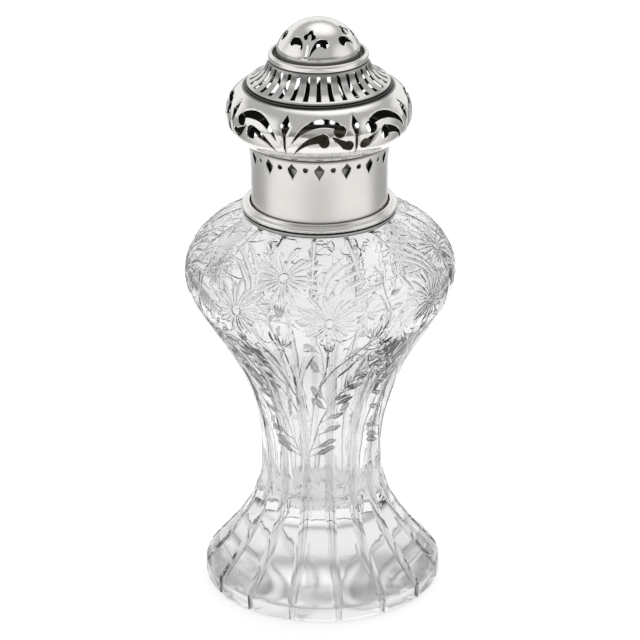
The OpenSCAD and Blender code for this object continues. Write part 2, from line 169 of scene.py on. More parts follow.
def eased(corners, radius, steps=4):
    """Path through corners, with each corner between its ends rounded."""
    corners = [Vector(p) for p in corners]
    path = [corners[0]]
    for before, corner, after in zip(corners, corners[1:], corners[2:]):
        back, ahead = before - corner, after - corner
        run = min(radius, 0.45 * back.length, 0.45 * ahead.length)
        start, end = corner + back.normalized() * run, corner + ahead.normalized() * run
        for i in range(steps + 1):
            t = i / steps
            path.append((1 - t) ** 2 * start + 2 * (1 - t) * t * corner + t**2 * end)
    return np.array([*path, corners[-1]])


def eased_loop(corners, radius, steps=4):
    """Closed outline through corners, with each corner rounded."""
    return eased([*corners, corners[0], corners[1]], radius, steps)[1 : -steps - 2]


def crescent(outer, inner, low, right, steps=14):
    """Closed outline between two circles, to the left of right and above low."""
    gap = Vector(inner[:2]) - Vector(outer[:2])
    share = (outer[2] ** 2 - inner[2] ** 2 + gap.length_squared) / (2 * gap.length)
    middle = Vector(outer[:2]) + gap.normalized() * share
    half = gap.orthogonal().normalized() * math.sqrt(outer[2] ** 2 - share**2)
    tip = min(middle + half, middle - half, key=lambda p: p.x)

    def sweep(circle):
        x, y, radius = circle
        if tip.y > low:
            start = math.degrees(math.atan2(tip.y - y, tip.x - x)) % 360
        else:
            start = 180 - math.degrees(math.asin((low - y) / radius))
        return arc((x, y), radius, start, math.degrees(math.acos((right - x) / radius)), steps)

    back = sweep(inner)[::-1]
    return np.concatenate([sweep(outer), back[:-1] if tip.y > low else back])


def counter_clockwise(loop):
    """The same closed outline, run counter-clockwise."""
    x, y = loop[:, 0], loop[:, 1]
    area = (x * np.roll(y, -1) - np.roll(x, -1) * y).sum()
    return loop if area > 0 else loop[::-1]


def grown(loop, by):
    """A counter-clockwise outline moved outwards."""
    ahead = np.roll(loop, -1, 0) - loop
    ahead /= np.linalg.norm(ahead, axis=1)[:, None]
    out = np.column_stack([ahead[:, 1], -ahead[:, 0]])
    both = out + np.roll(out, 1, 0)
    reach_out = both / np.maximum((both * both).sum(1), 0.7)[:, None] * 2
    return loop + by * reach_out


# Turned skins with cuts and piercings

# Millimetres within which points are one, and a distance beyond any cut
SAME, DRAWN_SAME, FAR = 1e-6, 1e-5, 9.0
# Shares of a cut's half width at which its lines are drawn, and within which it is satin
HOLLOW_LINES, SATIN_LINES, PLAIN_LINES = (0.35, 0.7, 1.0), (0.8, 1.0), (1.0,)
SATIN_REACH = 0.92
CORNER_COLUMNS = 12


class Turned:
    """A turned skin: a profile of radius and height, measured along its length."""

    def __init__(self, profile):
        self.profile = np.array(profile, float)
        run = np.linalg.norm(np.diff(self.profile, axis=0), axis=1)
        apart = run > SAME
        self.profile = self.profile[np.concatenate([[True], apart])]
        self.along = np.concatenate([[0.0], np.cumsum(run[apart])])
        slope = np.gradient(self.profile, self.along, axis=0)
        slope /= np.linalg.norm(slope, axis=1)[:, None]
        self.outward = np.column_stack([slope[:, 1], -slope[:, 0]])
        height = self.profile[:, 1]
        foot = len(height) - 1 - int(np.argmin(height[::-1]))
        self.rise = slice(foot, int(np.argmax(height)) + 1)

    def radius(self, along):
        """Radius at a distance along the profile."""
        return np.interp(along, self.along, self.profile[:, 0])

    def at_height(self, height):
        """Distance along the profile of a height on its rising side."""
        return np.interp(height, self.profile[self.rise, 1], self.along[self.rise])

    def corners(self, least=15):
        """Distances along the profile where it turns by more than some degrees."""
        run = np.diff(self.profile, axis=0)
        heading = np.unwrap(np.arctan2(run[:, 1], run[:, 0]))
        return self.along[1:-1][np.abs(np.diff(heading)) > math.radians(least)]

    def place(self, angle, along, depth):
        """Points in space, in metres, of angles and distances along, sunk into the skin."""
        spot = [np.interp(along, self.along, column) for column in (*self.profile.T, *self.outward.T)]
        radius, height = spot[0] - depth * spot[2], spot[1] - depth * spot[3]
        return np.column_stack([radius * np.sin(angle), -radius * np.cos(angle), height]) * MM


class Skin:
    """One repeat of a turned skin, drawn flat by angle and distance along, with cuts and piercings."""

    def __init__(self, turned, repeats, start, edge=0.0):
        self.turned, self.repeats, self.start, self.edge = turned, repeats, start, edge
        self.period = 2 * math.pi / repeats
        self.scale = turned.profile[:, 0].max()
        self.points, self.edges, self.holes = [], [], []
        self.cuts, self.outlines = [], []

    def copies(self, path, margin=0.02):
        """The path as it is seen from this repeat and from the repeats beside it."""
        path = np.array(path, float)
        for shift in (-self.period, 0, self.period):
            moved = path + (shift, 0)
            low, high = moved[:, 0].min(), moved[:, 0].max()
            if high > self.start - margin and low < self.start + self.period + margin:
                yield moved

    def draw(self, path, closed=False):
        """Adds a path to the drawing, and returns the numbers of its points."""
        first = len(self.points)
        self.points += [tuple(p) for p in path]
        numbers = list(range(first, len(self.points)))
        self.edges += list(zip(numbers, numbers[1:]))
        if closed:
            self.edges.append((numbers[-1], first))
        return numbers

    def pierce(self, outline, place):
        """Pierces the skin with a flat outline, which place lays on the skin."""
        outline = counter_clockwise(np.array(outline, float))
        rounded = grown(outline, self.edge)
        for loop, ring in zip(self.copies(place(outline)), self.copies(place(rounded))):
            self.holes.append(self.draw(loop, closed=True))
            self.draw(ring, closed=True)
            self.outlines.append(np.concatenate([loop, loop[:1]]))

    def cut(self, path, half, depth, satin=0.0, hollow=False):
        """Cuts a groove along a path, with half widths and depths at its points, mitred or hollow."""
        half, depth = (np.broadcast_to(values, len(path)).astype(float) for values in (half, depth))
        for line in self.copies(path):
            radius = self.turned.radius(line[:, 1])
            run = np.gradient(line, axis=0) * np.column_stack([radius, np.ones_like(radius)])
            run /= np.linalg.norm(run, axis=1)[:, None]
            side = np.column_stack([-run[:, 1] / radius, run[:, 0]]) * half[:, None]
            self.draw(line)
            for share in HOLLOW_LINES if hollow else SATIN_LINES if satin else PLAIN_LINES:
                self.draw(np.concatenate([line + share * side, (line - share * side)[::-1]]), closed=True)
            self.cuts.append((line, half, depth, satin, hollow))

    def nearest(self, spots, path):
        """Distance of spots from a path, and the nearest place on it as a count of its points."""
        radius = self.turned.radius(spots[:, 1])
        gap, place = np.full(len(spots), np.inf), np.zeros(len(spots))
        for i, (start, end) in enumerate(zip(path, path[1:])):
            run = np.column_stack([(end[0] - start[0]) * radius, np.full_like(radius, end[1] - start[1])])
            off = np.column_stack([(spots[:, 0] - start[0]) * radius, spots[:, 1] - start[1]])
            share = np.clip((off * run).sum(1) / np.maximum((run * run).sum(1), 1e-12), 0, 1)
            here = np.linalg.norm(off - share[:, None] * run, axis=1)
            closer = here < gap
            gap[closer], place[closer] = here[closer], i + share[closer]
        return gap, place

    def near(self, spots, path, margin):
        """Which spots lie in the box round a path."""
        radius = np.maximum(self.turned.radius(spots[:, 1]), 1.0)
        low, high = path.min(0), path.max(0)
        beside = (spots[:, 0] > low[0] - margin / radius) & (spots[:, 0] < high[0] + margin / radius)
        return np.flatnonzero(beside & (spots[:, 1] > low[1] - margin) & (spots[:, 1] < high[1] + margin))

    def sunk(self, spots):
        """How deep and how satin the cuts leave each spot, and how far it is from their edges."""
        depth, satin, clear = np.zeros(len(spots)), np.zeros(len(spots)), np.full(len(spots), FAR)
        for line, half, depths, finish, hollow in self.cuts:
            found = self.near(spots, line, half.max() + 1)
            gap, place = self.nearest(spots[found], line)
            count = np.arange(len(line))
            width = np.interp(place, count, half)
            share = np.clip(gap / width, 0, 1)
            sink = np.interp(place, count, depths) * (1 - (share**2 if hollow else share))
            deeper = sink > depth[found]
            depth[found[deeper]] = sink[deeper]
            satin[found] = np.maximum(satin[found], finish * (gap < SATIN_REACH * width))
            clear[found] = np.minimum(clear[found], gap - width)
        for loop in self.outlines:
            found = self.near(spots, loop, 1)
            gap, _ = self.nearest(spots[found], loop)
            turn = np.clip(1 - gap / max(self.edge, SAME), 0, 1)
            depth[found] = np.maximum(depth[found], self.edge * (1 - np.sqrt(1 - turn**2)))
            clear[found] = np.minimum(clear[found], gap - self.edge)
        return depth, satin, clear

    def rule(self, pitch, room):
        """Adds a net of points to the drawing, which leaves room beside the cuts and piercings."""
        ends, net = [], []
        for along, radius in zip(self.turned.along, self.turned.profile[:, 0]):
            columns = max(1, round(radius * self.period / pitch))
            angles = np.linspace(self.start, self.start + self.period, columns + 1)
            spots = np.column_stack([angles, np.full_like(angles, along)])
            ends.append(spots[[0, -1]])
            net.append(spots[1:-1])
        net = np.concatenate(net)
        self.points += [tuple(p) for p in net[self.sunk(net)[2] > room]]
        for side in np.swapaxes(ends, 0, 1):
            self.draw(side)
        for along in self.turned.corners():
            angles = np.linspace(self.start, self.start + self.period, CORNER_COLUMNS + 1)
            self.draw(np.column_stack([angles, np.full_like(angles, along)]))

    def fill(self):
        """Fills the drawing with faces, lays it on the turned skin and repeats it all the way round."""
        flat = [Vector((angle * self.scale, along)) for angle, along in self.points]
        spots, _, faces, _, _, owners = delaunay_2d_cdt(
            flat, self.edges, self.holes, 0, DRAWN_SAME, True)
        spots = np.array([(p.x / self.scale, p.y) for p in spots])
        depth, satin, _ = self.sunk(spots)
        bm = bmesh.new()
        finish = bm.verts.layers.float.new("satin")
        for place, value in zip(self.turned.place(spots[:, 0], spots[:, 1], depth), satin):
            bm.verts.new(place)[finish] = value
        bm.verts.ensure_lookup_table()
        for face, owner in zip(faces, owners):
            middle = spots[face, 0].mean() - self.start
            if not owner and 0 < middle < self.period:
                bm.faces.new([bm.verts[i] for i in face])
        loose = [v for v in bm.verts if not v.link_faces]
        bmesh.ops.delete(bm, geom=loose, context="VERTS")
        bmesh.ops.spin(
            bm, geom=bm.verts[:] + bm.edges[:] + bm.faces[:], cent=(0, 0, 0), axis=(0, 0, 1),
            angle=self.period * (self.repeats - 1), steps=self.repeats - 1, use_duplicate=True)
        close_up(bm)
        return bm


def close_up(bm):
    """Welds the seams and poles of a mesh and turns its faces outwards."""
    bmesh.ops.remove_doubles(bm, verts=bm.verts[:], dist=WELD)
    bmesh.ops.dissolve_degenerate(bm, edges=bm.edges[:], dist=WELD)
    bmesh.ops.recalc_face_normals(bm, faces=bm.faces[:])
    flow = sum(f.normal.dot(f.calc_center_median() * Vector((1, 1, 0))) * f.calc_area() for f in bm.faces)
    if flow < 0:
        bmesh.ops.reverse_faces(bm, faces=bm.faces[:])


def turn_ring(outline, steps=192):
    """A ring turned from a closed outline of radius and height."""
    bm = bmesh.new()
    verts = [bm.verts.new((radius * MM, 0, height * MM)) for radius, height in outline]
    edges = [bm.edges.new(pair) for pair in zip(verts, verts[1:] + verts[:1])]
    bmesh.ops.spin(
        bm, geom=verts + edges, cent=(0, 0, 0), axis=(0, 0, 1), angle=2 * math.pi, steps=steps,
        use_merge=True)
    close_up(bm)
    return bm


def thicken(bm, wall, dark_walls=False):
    """Gives a skin its wall, and marks the inside, or all but the outside, for the second material, whose
    dark colour is tarnish and painted shade.
    """
    outside = set(bm.faces)
    bmesh.ops.solidify(bm, geom=bm.faces[:], thickness=wall)
    for face in bm.faces:
        beside_it = {other for edge in face.edges for other in edge.link_faces}
        face.material_index = int(face not in outside if dark_walls else not beside_it & outside)


# Radius, height and reach of the creases where tarnish gathers and shade is painted; the last spot paints
# shade over the top of the flare
SHADE_AND_TARNISH_SPOTS = [
    (SLEEVE_TOP_R - 0.1, SLEEVE_TOP - 0.45, 0.8), (WIRE_R + 0.3, CROWN_Z, 0.9),
    (LIP_R + 0.1, LIP_Z, 0.6), (RIM_R, DOME_SEAT, 0.35), (DOME_R - 0.4, RIM_TOP - 0.7, 1.3),
    (SLEEVE_TOP_R - 0.9, SEAT_Z + 0.3, 1.0), (MOULDING_R - 0.6, LEDGE_Z + 1.2, 0.6),
    (MOULDING_R - 0.3, LEDGE_Z, 0.5), (RIM_R + 1.6, DOME_SEAT - 1.3, 2.0)]
SHADE_AND_TARNISH_DARKNESS = 1.7


def paint_shade_and_tarnish(bm):
    """Marks how near each point is to a crease, where tarnish and painted shade darken the silver."""
    layer = bm.verts.layers.float.new("crease")
    for vert in bm.verts:
        radius, height = math.hypot(vert.co.x, vert.co.y) / MM, vert.co.z / MM
        nearness = max(0.0, *(1 - math.hypot(radius - r, height - z) / w for r, z, w in SHADE_AND_TARNISH_SPOTS))
        vert[layer] = min(1.0, SHADE_AND_TARNISH_DARKNESS * nearness)


def piece(name, bm, body, node, slot, materials, crease=35):
    """Makes an object of a finished mesh, in place of a node of the frame."""
    # painted shade and tarnish go into the creases of silver pieces
    if slot == "silver":
        paint_shade_and_tarnish(bm)
    mesh = bpy.data.meshes.new(name)
    bm.to_mesh(mesh)
    bm.free()
    for made in materials:
        mesh.materials.append(made)
    mesh.shade_smooth()
    mesh.set_sharp_from_angle(angle=math.radians(crease))
    thing = bpy.data.objects.new(name, mesh)
    bpy.context.scene.collection.objects.link(thing)
    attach(thing, body)
    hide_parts(node)


# Materials


class Paint:
    """A shader socket on which sums and products add Math nodes."""

    def __init__(self, tree, socket=None):
        self.tree, self.socket = tree, socket

    def add(self, kind, inputs=None, output=0, **settings):
        """Adds a node, sets it up, feeds its sockets and returns one of its outputs."""
        node = self.tree.nodes.new(kind)
        for name, value in settings.items():
            setattr(node, name, value)
        for name, value in (inputs or {}).items():
            if isinstance(value, Paint):
                self.tree.links.new(value.socket, node.inputs[name])
            else:
                node.inputs[name].default_value = value
        return Paint(self.tree, node.outputs[output] if node.outputs else None)

    def math(self, operation, first, second):
        """Adds a Math node."""
        return self.add("ShaderNodeMath", {0: first, 1: second}, operation=operation)

    def __add__(self, other):
        return self.math("ADD", self, other)

    def __sub__(self, other):
        return self.math("SUBTRACT", self, other)

    def __rsub__(self, other):
        return self.math("SUBTRACT", other, self)

    def __mul__(self, other):
        return self.math("MULTIPLY", self, other)

    __radd__, __rmul__ = __add__, __mul__

    def noise(self, scale, detail=3.0, stretch=(1, 1, 1)):
        """Noise from 0 to 1 on the piece's own coordinates."""
        place = self.add("ShaderNodeTexCoord", output=3)
        place = self.add("ShaderNodeMapping", {"Vector": place, "Scale": stretch})
        return self.add("ShaderNodeTexNoise", {"Vector": place, "Scale": scale, "Detail": detail})

    def blend(self, share, first, second):
        """Mixes two colours."""
        return self.add("ShaderNodeMix", {0: share, 6: first, 7: second}, output=2, data_type="RGBA")

    def step(self, value, ends, first=1.0, last=0.0):
        """A smooth step between two ends, which falls unless it is told to rise."""
        ranges = {"From Min": ends[0], "From Max": ends[1], "To Min": first, "To Max": last}
        return self.add("ShaderNodeMapRange", {"Value": value, **ranges}, interpolation_type="SMOOTHSTEP")

    def axes(self, output=3):
        """The three parts of the piece's own coordinates, or of another output of Texture Coordinate."""
        place = self.add("ShaderNodeTexCoord", output=output)
        return [self.add("ShaderNodeSeparateXYZ", {0: place}, output=i) for i in range(3)]

    def bump(self, height, strength, distance):
        """Normals bent by a height."""
        return self.add("ShaderNodeBump", {"Height": height, "Strength": strength, "Distance": distance})

    def mark(self, name):
        """A number that the piece's points carry."""
        return self.add("ShaderNodeAttribute", output=2, attribute_name=name)


def material(name, dress):
    """A new material, whose surface dress gives as the inputs of its shader."""
    made = bpy.data.materials.new(name)
    made.use_nodes = True
    tree = made.node_tree
    tree.nodes.clear()
    paint = Paint(tree)
    shader = paint.add("ShaderNodeBsdfPrincipled", dress(paint))
    paint.add("ShaderNodeOutputMaterial", {"Surface": shader})
    return made


GROUND_FOOT = (1.7 * MM, 2.0 * MM)
# Share of the tint left in satin cuts, which paints them dark as shade
SATIN_SHADE_SHARE = 0.05


def cut_glass():
    """Clear polished glass, with satin in the wheel-cut leaves, painted dark there as shade, a faint waviness
    and a ground foot.
    """
    sizes = bpy.context.scene.caster_glass

    def dress(paint):
        satin = paint.mark("satin")
        grain = paint.noise(2600, 2)
        wave = paint.noise(160, 2)
        ground = paint.step(paint.axes()[2], GROUND_FOOT)
        polish = 0.004 + 0.012 * wave
        # painted shade: satin cuts keep only a small share of the tint
        painted_satin_shade = [SATIN_SHADE_SHARE * c for c in sizes.tint]
        return {
            "Base Color": paint.blend(satin, (*sizes.tint, 1), (*painted_satin_shade, 1)),
            "Roughness": polish + satin * (0.05 + 0.07 * grain) + ground * (0.06 + 0.08 * grain),
            "IOR": 1.52,
            "Transmission Weight": 1.0,
            "Normal": paint.bump(wave + satin * grain, 0.05, 0.0002),
        }

    return material("cut_glass", dress)


def polished_silver(name="polished_silver", rough=0.04, shade=1.0):
    """Warm polished silver with fine rubbing marks and a breath of tarnish, darkened by shade as painted
    shade, and dark near creases with tarnish and painted shade.
    """
    sizes = bpy.context.scene.caster_silver

    def dress(paint):
        cloud = paint.noise(120, 4)
        rub = paint.noise(900, 3, (1, 1, 0.12))
        # painted shade: a shade below one darkens the whole piece
        colour = tuple(shade * c for c in sizes.colour)
        dull = tuple(0.82 * c for c in colour)
        crease = paint.mark("crease")
        bright = paint.blend(cloud * 0.5, (*colour, 1), (*dull, 1))
        return {
            # tarnish and painted shade: near creases the colour goes dark and the metal goes plain
            "Base Color": paint.blend(crease, bright, (*sizes.tarnish_and_shade, 1)),
            "Metallic": 1.0 - crease,
            "Specular IOR Level": 0.1,
            "Roughness": rough + 0.08 * rub + 0.06 * cloud,
            "Normal": paint.bump(rub, 0.05, 0.0001),
        }

    return material(name, dress)


def tarnished_and_shaded_silver():
    """Darkened silver inside the cover, as tarnish and painted shade."""
    sizes = bpy.context.scene.caster_silver

    def dress(paint):
        cloud = paint.noise(260, 5)
        light = tuple(min(1.0, 2.5 * c) for c in sizes.tarnish_and_shade)
        return {
            # tarnish and painted shade: the inside is near black
            "Base Color": paint.blend(cloud, (*sizes.tarnish_and_shade, 1), (*light, 1)),
            "Metallic": 0.2,
            "Roughness": 0.45 + 0.3 * cloud,
            "Specular IOR Level": 0.2,
            "Normal": paint.bump(cloud, 0.2, 0.0002),
        }

    return material("tarnished_and_shaded_silver", dress)


def set_plaster():
    """Set plaster, stained brown by age."""

    def dress(paint):
        grit = paint.noise(900, 6)
        return {
            "Base Color": paint.blend(grit, (0.42, 0.37, 0.29, 1), (0.30, 0.26, 0.20, 1)),
            "Roughness": 0.8 + 0.15 * grit,
            "Normal": paint.bump(grit, 0.4, 0.0003),
        }

    return material("set_plaster", dress)


# Where the tones of the floor change, in metres across and back, and how much each glows
SIDES_ACROSS, SIDES_BACK = (0.8, 1.8), (-0.06, 0.12)
FRONT_ACROSS, FRONT_BACK = (0.10, 0.17), (0.15, 0.35)
VIEW_SPREAD, VIEW_ACROSS, VIEW_NEAR, VIEW_FAR = 0.103, (0.104, 0.135), (-0.21, -0.15), (0.6, 0.9)
TABLE_GLOW, SIDES_GLOW, FRONT_GLOW, VIEW_GLOW = 0.08, 0.3, 0.15, 0.5


def studio_floor():
    """Matt floor, glowing white where the camera looks, and softly darker round that."""
    sizes = bpy.context.scene.caster_stage
    side_card = [min(0.95, 1.2 * c) for c in sizes.card]

    def dress(paint):
        x, y, _ = paint.axes()
        across = paint.math("ABSOLUTE", x, 0.0)
        sides = paint.step(across, SIDES_ACROSS) * paint.step(y, SIDES_BACK)
        front = paint.step(across, FRONT_ACROSS) * paint.step(y, FRONT_BACK)
        view = paint.step(across - VIEW_SPREAD * y, VIEW_ACROSS)
        view = view * paint.step(y, VIEW_NEAR, 0.0, 1.0) * paint.step(y, VIEW_FAR)
        tones = (
            (sides, side_card, SIDES_GLOW), (front, sizes.card, FRONT_GLOW), (view, sizes.floor, VIEW_GLOW))
        colour, glow = (*sizes.table, 1), TABLE_GLOW
        for share, shade, power in tones:
            colour = paint.blend(share, colour, (*shade, 1))
            glow = glow + share * (power - glow)
        return {
            "Base Color": colour, "Roughness": 0.9 + 0.05 * paint.noise(30), "Specular IOR Level": 0.2,
            "Emission Color": glow, "Emission Strength": 1.0}

    return material("studio_floor", dress)


# The glass body

FLUTES = 16
FLUTE_PHASE = math.radians(7.5)
SPRAYS = 4
SPRAY_MIDDLE = math.radians(-15.9)
FLUTE_FADE, LEAST_FADE = (66.0, 82.0), 0.04
# Heights, shares of the width and shares of the depth of a flute
FLUTE_HEIGHTS = [0, 4.4, 6, 24, 40]
FLUTE_WIDTHS, FLUTE_DEPTHS = [0.75, 0.85, 1.3, 1.25, 1.1], [1.2, 1.1, 0.8, 0.75, 0.65]
SHORT_FLUTE_STEPS = 8
FLUTE_GAP = 0.3
MOUTH_R = 14.2


def glass_profile(sizes):
    """Profile of the glass, from the middle of its underside, up its outside, and down its hollow."""
    foot_r, edge, waist_r, waist_z, belly_z = (
        value / MM
        for value in (sizes.foot_r, sizes.foot_edge, sizes.waist_r, sizes.waist_z, sizes.belly_z))
    recess, recess_r = 1.6, 27.0
    flange_r, neck_r = MOULDING_R - 0.3, 17.4
    hollow_waist, hollow_belly, floor_z, floor_r = waist_r - 7.5, BELLY_R - 4.5, 24.5, 5.0
    shoulder = LEDGE_Z - 4.6
    waist_pull, belly_pull, shoulder_pull = 35.7, 13.3, (8.6, -2.6)
    underside = curve((0, recess), (recess_r / 2, recess), (0.75 * recess_r, 0.2), (recess_r, 0), 20)
    foot = eased([(recess_r + 0.6, 0), (foot_r - 0.5, 0), (foot_r, 0.6), (foot_r, edge)], 0.6, 3)
    outside = [
        curve((foot_r, edge), (foot_r - 2.8, edge + 5.2), (waist_r, waist_z - 18), (waist_r, waist_z), 40),
        curve((waist_r, waist_z), (waist_r, waist_z + waist_pull), (BELLY_R, belly_z - belly_pull),
              (BELLY_R, belly_z), 60),
        curve((BELLY_R, belly_z), (BELLY_R, belly_z + 8.5),
              (flange_r + shoulder_pull[0], LEDGE_Z + shoulder_pull[1]), (flange_r, LEDGE_Z), 28),
    ]
    neck = eased([(flange_r - 0.8, LEDGE_Z), (neck_r, LEDGE_Z), (neck_r, NECK_TOP), (MOUTH_R, NECK_TOP),
                  (MOUTH_R, shoulder)], 0.6, 3)
    hollow = [
        curve((MOUTH_R, shoulder), (MOUTH_R + shoulder_pull[0], shoulder + shoulder_pull[1]),
              (hollow_belly, belly_z + 4.2), (hollow_belly, belly_z), 20),
        curve((hollow_belly, belly_z), (hollow_belly, belly_z - belly_pull),
              (hollow_waist, waist_z + waist_pull), (hollow_waist, waist_z), 36),
        curve((hollow_waist, waist_z), (hollow_waist - 0.6, floor_z + 1.5), (hollow_waist - 1, floor_z),
              (floor_r, floor_z), 24),
        np.linspace((floor_r, floor_z), (0, floor_z), 6)[1:],
    ]
    return np.concatenate([[(0, recess)], underside, foot, *outside, neck, *hollow])


def on_spray(turned, degrees, height):
    """Angle and distance along of a place given as degrees from the spray's middle and a height."""
    return SPRAY_MIDDLE + math.radians(degrees), float(turned.at_height(height))


def through(turned, places, steps):
    """Smooth path on the glass through places given as degrees from the spray's middle and heights."""
    spots = np.array([on_spray(turned, *place) for place in places])
    ends = np.concatenate([[2 * spots[0] - spots[1]], spots, [2 * spots[-1] - spots[-2]]])
    path = [spots[:1]]
    for before, a, b, after in zip(ends, ends[1:], ends[2:], ends[3:]):
        path.append(curve(a, a + (b - before) / 6, b - (after - a) / 6, b, steps))
    return np.concatenate(path)


def beside(turned, origin, across, up):
    """Places on the glass some millimetres across and up from an origin given as angle and along."""
    along = origin[1] + np.asarray(up, float)
    return np.column_stack([origin[0] + np.asarray(across, float) / turned.radius(along), along])


def cut_flower(skin, sizes, degrees, height, turn, stretch):
    """Cuts a flower: hollow petals round a boss, the upper ones at its sides stretched, and a calyx."""
    turned = skin.turned
    middle = on_spray(turned, degrees, height)
    petals, reach_out, depth = sizes.petals, sizes.petal_reach / MM, sizes.petal_depth / MM
    boss, pitch = 1.5, 2 * math.pi / sizes.petals
    share = np.array([0, 0.2, 0.45, 0.7, 0.88, 1.0])
    for i in range(petals):
        angle = turn + i * pitch
        sideways = math.sin(angle)
        rising = max(0.0, math.cos(angle) + 0.35)
        length = reach_out * (0.86 + 0.12 * math.cos(2.4 * i)) * (1 + stretch * sideways**2 * rising)
        length *= 0.82 if math.cos(angle) < -0.5 else 1.0
        bend = 0.10 * math.sin(1.7 * i) + 0.9 * stretch * sideways * rising
        radius = boss + (length - boss) * share
        turn_here = angle + bend * share
        half = np.minimum(pitch * 0.40 * radius, 0.95) * np.array([0.6, 0.8, 0.95, 1.0, 0.75, 0.12])
        sink = depth * np.array([0.3, 0.7, 0.95, 1.0, 0.75, 0.1])
        path = beside(turned, middle, radius * np.sin(turn_here), radius * np.cos(turn_here))
        skin.cut(path, half, sink, hollow=True)
    ring = np.linspace(0, 2 * math.pi, 17)
    skin.cut(beside(turned, middle, boss * np.sin(ring), boss * np.cos(ring)), 0.3, 0.22)
    for tooth in (-1.2, -0.4, 0.4, 1.2):
        across, up = np.array([0.6, 1.0, 1.25]) * tooth, np.array([-10.9, -9.2, -7.6])
        skin.cut(beside(turned, middle, across, up), [0.3, 0.45, 0.06], [0.2, 0.3, 0.04], 0.6)


def cut_leaf(skin, foot, heading, length, width, depth, satin):
    """Cuts a leaf of two halves that meet in a rib; heading is its angle from straight up."""
    share = np.array([0, 0.15, 0.4, 0.65, 0.87, 1.0])
    swell = np.array([0.15, 0.6, 1.0, 0.9, 0.5, 0.08])
    for side in (-1, 1):
        bow = side * 0.45 * width * swell
        across = length * share * math.sin(heading) + bow * math.cos(heading)
        up = length * share * math.cos(heading) - bow * math.sin(heading)
        skin.cut(beside(skin.turned, foot, across, up), 0.45 * width * swell, depth * swell, satin)


def cut_leafy_stem(skin, side, places):
    """Cuts one of the spray's two outer stems, with leaves on its outer side and small ones inside."""
    turned = skin.turned
    path = through(turned, places, 4)
    skin.cut(path, 0.24, 0.22, 0.5)
    for i, place in enumerate(range(0, len(path) - 2, 4)):
        start = path[place]
        ahead = path[place + 1] - start
        heading = math.atan2(ahead[0] * turned.radius(start[1]), ahead[1])
        out = side * (1.12 - 0.02 * i)
        stalk = 2.8 - 0.1 * i
        across, up = np.array([0, stalk]) * math.sin(out), np.array([0, stalk]) * math.cos(out)
        stem = beside(turned, start, across, up)
        skin.cut(stem, 0.16, 0.16, 0.5)
        cut_leaf(skin, stem[1], out + side * 0.05, 6.0 - 0.12 * i, 1.2 - 0.03 * i, 0.2, 0.95 - 0.05 * i)
        if i > 3:
            cut_leaf(skin, path[place + 2], heading - side * 0.5, 4.4, 0.9, 0.2, 0.3)
            cut_leaf(skin, path[place + 2], heading + side * 0.6, 4.2, 0.9, 0.2, 0.3)


def cut_blade(skin, places):
    """Cuts a long hollow blade that swells in its middle."""
    path = through(skin.turned, places, 4)
    share = np.linspace(0, 1, len(path))
    swell = np.maximum(np.sin(math.pi * share**0.8) ** 0.7, 0.08)
    skin.cut(path, 0.85 * swell, 0.26 * swell, hollow=True)


def cut_bud(skin, degrees, foot, top):
    """Cuts a long closed bud as an outline and a few ribs at its foot."""
    turned = skin.turned
    middle = on_spray(turned, degrees, (foot + top) / 2)
    tall = float(turned.at_height(top) - turned.at_height(foot)) / 2
    for side in (-1, 1):
        turn = np.radians(np.linspace(8, 166, 11))
        path = beside(turned, middle, side * 3.3 * np.sin(turn) ** 0.8, tall * np.cos(turn))
        skin.cut(path, 0.42 * np.sin(turn) ** 0.5, 0.28 * np.sin(turn) ** 0.5)
        for rib in (0.9, 2.0):
            across, up = side * np.array([0.25, 0.7, 1.0]) * rib, tall * np.array([-0.95, -0.6, -0.2])
            skin.cut(beside(turned, middle, across, up), [0.15, 0.3, 0.05], [0.1, 0.24, 0.03], 0.4)


# Degrees from the spray's middle and heights of the engraved lines
LEAFY_RIGHT = [
    (3.5, 46), (5.6, 48.5), (11.1, 53.6), (14.4, 58.3), (22, 64.3), (28.9, 69.5), (34.3, 73.6), (39.5, 78.7),
    (43.5, 85), (46, 92)]
LEAFY_LEFT = [
    (-3.5, 46), (-5.6, 48), (-9.5, 51.5), (-13.8, 58.7), (-17.4, 64.2), (-22.2, 68.8), (-28, 73),
    (-33, 77.5), (-37.5, 83), (-40.5, 89)]
STEMS = [
    [(2.2, 47), (5.6, 52.8), (8.7, 60.1), (10.2, 64.8), (13.3, 70.4), (18.5, 79), (19.4, 88)],
    [(13.3, 70.4), (22.5, 79.6), (32, 86), (38.5, 91)],
    [(-1.2, 47), (-0.6, 54.3), (-0.2, 60.7), (0.1, 66.3), (-4, 70.5), (-12.8, 77), (-20.5, 88)],
    [(-3, 62), (-8, 68), (-16, 73), (-25, 77)],
    [(1.4, 62), (1.2, 72), (-0.6, 81), (-1.4, 89)],
]
BLADES = [
    [(17.1, 107.9), (19.1, 111.1), (24.7, 113.3), (30.4, 114.8)],
    [(18.5, 107.6), (21.8, 110.5), (29.2, 112.6), (40.8, 113.9)],
    [(21.2, 107.2), (25.4, 109.8), (32.1, 111.2), (40.7, 111.6)],
    [(24, 106.5), (28, 108.2), (33.7, 109.2), (39.6, 109.6)],
    [(29.1, 104.4), (34.2, 106.3), (38.3, 106.9), (43.6, 107.4)],
    [(-14.7, 104), (-16.1, 108.6), (-21.9, 111.6), (-31.5, 113.8), (-41, 114.3)],
    [(-13.6, 106.5), (-14.5, 110.3), (-19.5, 112.9), (-26, 114.6), (-37.5, 116)],
    [(-17, 104.8), (-19.5, 108.6), (-28, 111.6), (-37.2, 112)],
    [(-31, 104), (-34, 107), (-36.3, 109.9)],
    [(6, 79), (9.5, 84), (12.8, 87)],
    [(2.5, 74), (6, 80), (8, 86)],
    [(-3, 70), (-6, 77), (-11, 83)],
    [(-6, 80), (-8, 85), (-12, 89)],
    [(24, 76), (31, 81), (36, 86)],
    [(-17, 80), (-25, 85), (-31, 89)],
]
